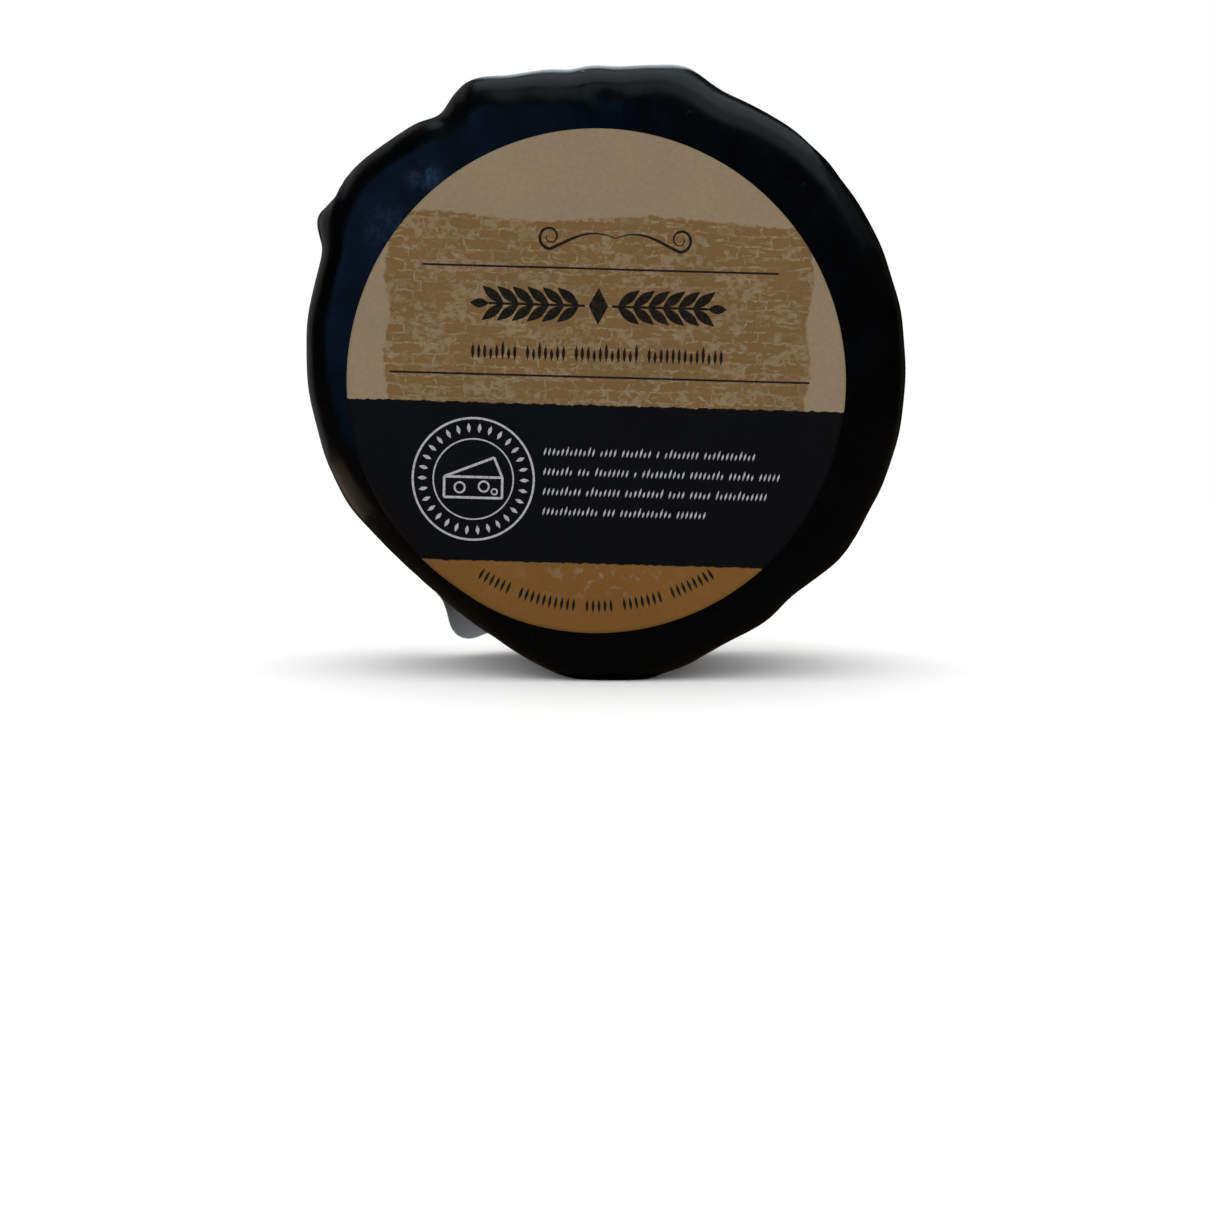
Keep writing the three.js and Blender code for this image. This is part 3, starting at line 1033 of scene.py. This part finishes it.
@dataclass
class Film:
    """Ink on a label: each stroke is a thin closed slab that follows the paper."""

    name: str
    paper: Paper
    ink: Ink
    slot: str
    lift: float
    strokes: list[Strokes]
    depth: float = 0.018
    sink: float = 0.01

    def slabs(self, strokes: Strokes) -> tuple[Array, Array]:
        """Points and faces of one kind of stroke: a ring of four points about each step.

        Args:
            strokes: the strokes.

        Returns:
            Vertices in millimetres, shape (count, 3), and faces, shape (faces, 4).
        """
        lines = strokes.lines
        if strokes.closed:
            way = np.roll(lines, -1, axis=1) - np.roll(lines, 1, axis=1)
        else:
            way = np.gradient(lines, axis=1)
        way /= np.maximum(np.linalg.norm(way, axis=-1, keepdims=True), 1e-9)
        out = np.stack([-way[..., 1], way[..., 0]], axis=-1) * strokes.halves[..., None]
        top, foot = self.lift + self.depth, self.lift - self.sink
        ring = [
            self.paper.at(*np.moveaxis(lines + side * out, -1, 0), height)
            for side, height in ((1, top), (-1, top), (-1, foot), (1, foot))
        ]
        points = np.stack(ring, axis=2)
        count, steps = lines.shape[:2]
        base = (np.arange(count) * steps * 4)[:, None, None]
        step = np.arange(steps if strokes.closed else steps - 1)[None, :, None]
        after = (step + 1) % steps
        side = np.arange(4)[None, None, :]
        turned = (side + 1) % 4
        here, there = base + step * 4, base + after * 4
        quads = [here + side, here + turned, there + turned, there + side]
        quads = np.stack(quads, axis=-1).reshape(-1, 4)
        if not strokes.closed:
            start, end = base[:, 0], base[:, 0] + (steps - 1) * 4
            quads = np.vstack([quads, start + [3, 2, 1, 0], end + [0, 1, 2, 3]])
        return points.reshape(-1, 3), quads

    def build(self) -> None:
        """Builds all the strokes as one piece, with every slab's faces outwards."""
        points, faces, count = [], [], 0
        for strokes in self.strokes:
            vertices, quads = self.slabs(strokes)
            points.append(vertices)
            faces.append(quads + count)
            count += len(vertices)
        piece = new_piece(self.name, np.vstack(points), np.vstack(faces).tolist())
        shell = bmesh.new()
        shell.from_mesh(piece.data)
        bmesh.ops.recalc_face_normals(shell, faces=shell.faces)
        shell.to_mesh(piece.data)
        shell.free()
        piece.data.polygons.foreach_set("use_smooth", np.zeros(len(piece.data.polygons), bool))
        piece.data.materials.append(self.ink.make())
        keep(piece, self.slot)


@dataclass
class FrontPrint:
    """The dark and the pale print on the round label."""

    label: FrontLabel
    dark: Ink = Ink("dark_print", (0.006, 0.0035, 0.0015), (0.026, 0.014, 0.006), 0.85)
    pale: Ink = Ink("pale_print", (0.36, 0.35, 0.37), (0.17, 0.165, 0.17))

    def garland(self) -> list[Strokes]:
        """A branch of leaves each way from a lozenge, in place of a title."""
        pairs, pitch, first = 6, 2.1, 2.7
        foot = first + np.arange(pairs) * pitch
        x = np.concatenate([foot, foot, -foot, -foot])
        feet = np.stack([x, np.zeros_like(x)], axis=-1)
        lean = np.repeat([38.0, -38.0, 142.0, 218.0], pairs)
        tip = first + pairs * pitch
        ends = np.array([[tip, 0.0], [-tip, 0.0]])
        upright = np.array([[[0.0, -2.5], [0.0, 0.0], [0.0, 2.5]]])
        lozenge = Strokes(upright, np.array([[0.03, 1.35, 0.03]]))
        shapes = [
            leaves(feet, lean, 3.8, 1.35),
            rules(ends * (1.9 / tip), ends, 0.34),
            leaves(ends, np.array([0.0, 180.0]), 2.6, 1.3),
            lozenge,
        ]
        return [shape.moved(0.0, 10.9) for shape in shapes]

    def curved_line(self) -> Strokes:
        """Grains standing in groups along an arc low on the label, with their feet outwards."""
        radius, first, last = 32.1, 240.0, 303.0
        grains = Grains(0.88, 1.1, 1.9, 0.42)
        run = grains.starts((6, 10, 5, 7, 8))
        angle = first + (last - first) * run / run[-1]
        return leaves(compass(angle) * radius, angle + 180.0, grains.tall, grains.wide)

    def dark_strokes(self) -> list[Strokes]:
        """Rules, flourish, garland, the line under it and the curved line."""
        starts = np.array([[-24.6, 16.0], [-29.0, 1.1]])
        ends = np.array([[25.0, 16.0], [29.9, 1.1]])
        return [
            rules(starts, ends, 0.26),
            flourish(21.4, 3.9).moved(2.1, 20.2),
            *self.garland(),
            Grains(0.84, 0.95, 2.1, 0.46).row((8, 7, 11, 13), -17.4, 3.2),
            self.curved_line(),
        ]

    def emblem(self) -> list[Strokes]:
        """A round seal: two rings with grains between them round a wedge of cheese."""
        middle = np.zeros((1, 2))
        turns = np.arange(30) * 12.0
        half, foot, cut, tip = 4.1, -2.6, 0.3, (2.9, 3.1)
        corners = [(-half, foot), (half, foot), (half, cut), (-half, cut), tip, (half, cut)]
        starts = np.array([*corners[:4], corners[3], corners[4]])
        ends = np.array([*corners[1:4], corners[0], *corners[4:]])
        holes = np.array([[-1.9, -1.2], [1.5, -1.0], [3.0, -1.7]])
        return [
            rings(middle, 8.55, 0.30, 96),
            rings(middle, 5.65, 0.20, 80),
            leaves(compass(turns) * 6.55, turns, 1.3, 0.52),
            rules(starts, ends, 0.34),
            rings(holes[:2], 0.72, 0.26, 24),
            rings(holes[2:], 0.40, 0.22, 18),
        ]

    def pale_strokes(self) -> list[Strokes]:
        """The seal and four lines of small grains in place of a paragraph."""
        lines = (
            (-10.0, (12, 4, 7, 1, 8, 12)),
            (-12.8, (7, 3, 8, 1, 10, 8, 6, 5)),
            (-15.6, (9, 8, 9, 4, 5, 12)),
            (-18.4, (13, 3, 12, 7)),
        )
        text = Grains(0.62, 0.55, 1.12, 0.27, 16.0)
        rows = [text.row(groups, -7.1, up) for up, groups in lines]
        return [shape.moved(-17.0, -13.6) for shape in self.emblem()] + rows

    def build(self) -> None:
        """Builds both films on the label's face."""
        lift = self.label.glue + self.label.paper
        for name, ink, strokes in (
            ("round_label_dark_print", self.dark, self.dark_strokes()),
            ("round_label_pale_print", self.pale, self.pale_strokes()),
        ):
            Film(name, self.label, ink, "kraft_label", lift, strokes).build()


@dataclass
class ReversePrint:
    """The thin border, ruled boxes and rows of grains on the reverse label."""

    label: ReverseLabel
    ink: Ink = Ink("grey_print", (0.030, 0.030, 0.034), (0.11, 0.11, 0.115))
    inset: float = 1.3

    def border(self) -> Strokes:
        """A closed line at an even distance inside the label's edge."""
        label = self.label
        inner = ReverseLabel(
            label.wax,
            label.width - 2 * self.inset,
            label.height - 2 * self.inset,
            label.corner - self.inset,
        )
        line = inner.outline()[None]
        return Strokes(line, np.full(line.shape[:2], 0.11), closed=True)

    def boxes(self) -> list[Strokes]:
        """An empty table on the right and an empty panel on the left."""
        table = ruled((8.0, 26.0, 37.0), [22.0 - 4.5 * row for row in range(7)], 0.2)
        return [table, ruled((-37.0, -14.0), (-22.0, -10.0), 0.2)]

    def strokes(self) -> list[Strokes]:
        """All of the reverse label's print."""
        texts = (
            (9, 6, 11, 4, 8),
            (5, 10, 7, 9, 6),
            (11, 4, 8, 8, 6),
            (7, 7, 10, 5, 9),
            (10, 9, 6, 10),
            (6, 12, 8),
        )
        text, foot = Grains(0.78, 0.9, 1.3, 0.32, 12.0), Grains(0.95, 1.4, 1.7, 0.42)
        first, second = Grains(0.85, 1.0, 1.4, 0.36), Grains(0.95, 1.0, 1.4, 0.36)
        rows = [foot.row((13, 9, 15), -2.0, -18.0), foot.row((8, 14, 7), -2.0, -22.5)]
        for number, groups in enumerate(texts):
            rows.append(text.row(groups, -36.0, 19.5 - 3.0 * number))
            up = 18.9 - 4.5 * number
            rows.append(first.row((7 + number % 3, 5), 9.5, up))
            rows.append(second.row((4 + number % 2,), 28.0, up))
        return [self.border(), *self.boxes(), *rows]

    def build(self) -> None:
        """Builds the film on the sheet, thick enough to stay over the paper on the folds."""
        label, name = self.label, "reverse_label_print"
        Film(name, label, self.ink, "white_label", label.paper, self.strokes(), 0.035).build()


# ---- The studio ----


COOL: Colour = (0.86, 0.94, 1.0)
TAN: Colour = (1.0, 0.82, 0.62)


@dataclass(frozen=True)
class Panel:
    """A soft flat light that looks at the object."""

    name: str
    azimuth: float
    elevation: float
    distance: float
    width: float
    height: float
    power: float
    colour: Colour = (1.0, 1.0, 1.0)
    gloss: bool = True
    diffuse: bool = True

    def build(self, aim: Array) -> None:
        """Sets the light up, `azimuth` from +X and `elevation` above the floor, in metres."""
        light = bpy.data.lights.new(self.name, "AREA")
        light.shape = "RECTANGLE"
        light.size = self.width
        light.size_y = self.height
        light.energy = self.power
        light.color = self.colour
        lamp = linked(self.name, light)
        round_, up = math.radians(self.azimuth), math.radians(self.elevation)
        way = np.array(
            [math.cos(up) * math.cos(round_), math.cos(up) * math.sin(round_), math.sin(up)]
        )
        lamp.location = aim + way * self.distance
        lamp.rotation_euler = Euler((math.pi / 2 - up, 0.0, round_ + math.pi / 2))
        lamp.visible_camera = False
        lamp.visible_glossy = self.gloss
        lamp.visible_diffuse = self.diffuse


@dataclass
class Studio:
    """A plain pale floor, soft lights, a white surround and the camera."""

    label_centre: Array
    label_face: float
    floor_half: float = 6000.0
    floor_colour: Colour = (0.995, 0.995, 0.99)
    floor_shade: float = 0.993
    floor_roughness: float = 0.9
    aim: tuple[float, float, float] = (0.0, 0.0, 40.0)
    surround: float = 1.0
    back_off: float = 190.55
    right: float = 1.51
    down: float = 13.2
    pitch: float = 5.4
    lens: float = 39.94
    panels: tuple[Panel, ...] = (
        Panel("ceiling", -80.0, 70.0, 1.0, 0.7, 1.4, 3.2, gloss=False),
        Panel("ceiling_shine", 0.0, 80.0, 1.0, 0.8, 1.2, 2.0, COOL, diffuse=False),
        Panel("front_shine", -64.0, 49.0, 1.0, 0.84, 0.60, 0.70, COOL, diffuse=False),
        Panel("window", -108.0, 13.0, 1.0, 0.5, 0.33, 0.30, (0.14, 0.42, 1.0)),
        Panel("left_side", 150.0, 22.0, 0.8, 0.8, 1.2, 0.65),
        Panel("right_side", 25.0, 10.0, 0.9, 0.5, 0.7, 0.06, (1.0, 0.85, 0.6)),
        Panel("front_haze", -60.0, 34.0, 1.0, 0.4, 0.4, 0.08, (0.55, 0.8, 1.0), diffuse=False),
        Panel("upper_right", -10.0, 45.0, 0.9, 0.5, 0.5, 0.09, COOL, diffuse=False),
        Panel("back", 90.0, 40.0, 1.1, 0.4, 0.7, 1.3, COOL, diffuse=False),
        Panel("table", 0.0, -90.0, 0.039, 1.2, 1.2, 0.15, TAN, diffuse=False),
        Panel("table_left", 180.0, -24.0, 0.09, 0.08, 0.02, 0.002, TAN, diffuse=False),
    )

    def floor(self) -> None:
        """A square floor just under the object."""
        square = np.array([[-1.0, -1.0, 0.0], [1.0, -1.0, 0.0], [1.0, 1.0, 0.0], [-1.0, 1.0, 0.0]])
        piece = new_piece("floor", square * self.floor_half, [[0, 1, 2, 3]])
        g = Graph("floor")
        shade = tuple(self.floor_shade * part for part in self.floor_colour)
        soft = g.blend(g.noise(g.places(), 3.0, 1.0), shade, self.floor_colour)
        g.put(g.shader.inputs["Specular IOR Level"], 0.0)
        piece.data.materials.append(g.done(soft, self.floor_roughness))
        piece.visible_glossy = False
        piece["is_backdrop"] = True

    def surroundings(self) -> None:
        """An even white surround that lights the floor and the paper. Gloss doesn't see it."""
        world = bpy.data.worlds.new("surround")
        world.use_nodes = True
        light = world.node_tree.nodes["Background"]
        light.inputs["Color"].default_value = (1.0, 1.0, 1.0, 1.0)
        light.inputs["Strength"].default_value = self.surround
        world.cycles_visibility.glossy = False
        bpy.context.scene.world = world

    def camera(self) -> None:
        """A camera in front of the label, a little low, looking slightly down."""
        lens = bpy.data.cameras.new("camera")
        lens.lens = self.lens
        lens.sensor_width = 36.0
        lens.clip_start = 0.005
        camera = linked("camera", lens)
        x, _, z = self.label_centre
        place = np.array([x + self.right, self.label_face - self.back_off, z - self.down])
        camera.location = place * MM
        camera.rotation_euler = Euler((math.radians(90.0 - self.pitch), 0.0, 0.0))
        bpy.context.scene.camera = camera

    def build(self) -> None:
        """Builds the floor, the lights, the surround and the camera."""
        self.floor()
        self.surroundings()
        aim = np.array(self.aim) * MM
        for panel in self.panels:
            panel.build(aim)
        self.camera()
        bpy.context.scene.view_settings.view_transform = "Standard"
        log.info("studio: %d lights", len(self.panels))


# ---- The whole object ----


def node_box(name: str) -> tuple[Array, Array]:
    """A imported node's lowest and highest corners, in millimetres."""
    low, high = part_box(name)
    return np.array(low) / MM, np.array(high) / MM


def plain_box(box: object) -> list[list[float]]:
    """A box as plain lists of numbers."""
    return [[float(part) for part in corner] for corner in box]


def main() -> list[list[float]]:
    """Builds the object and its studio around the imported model.

    Returns:
        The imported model's own box, in metres.
    """
    logging.basicConfig(level=logging.INFO, format="%(name)s %(message)s")
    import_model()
    packed_box = plain_box(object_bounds())
    low, high = node_box("front_label")
    centre = (low + high) / 2
    wax = WaxedCheese(axis_x=centre[0] + 1.7, axis_z=centre[2] + 1.25)
    wax.build()
    front = FrontLabel(wax, centre[0], centre[2])
    front.build()
    FrontPrint(front).build()
    reverse = ReverseLabel(wax)
    reverse.build()
    ReversePrint(reverse).build()
    Studio(centre, low[1]).build()
    return packed_box


if __name__ == "__main__":
    sizes = {"packed": main(), "visual": None}
    sizes["visual"] = plain_box(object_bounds())
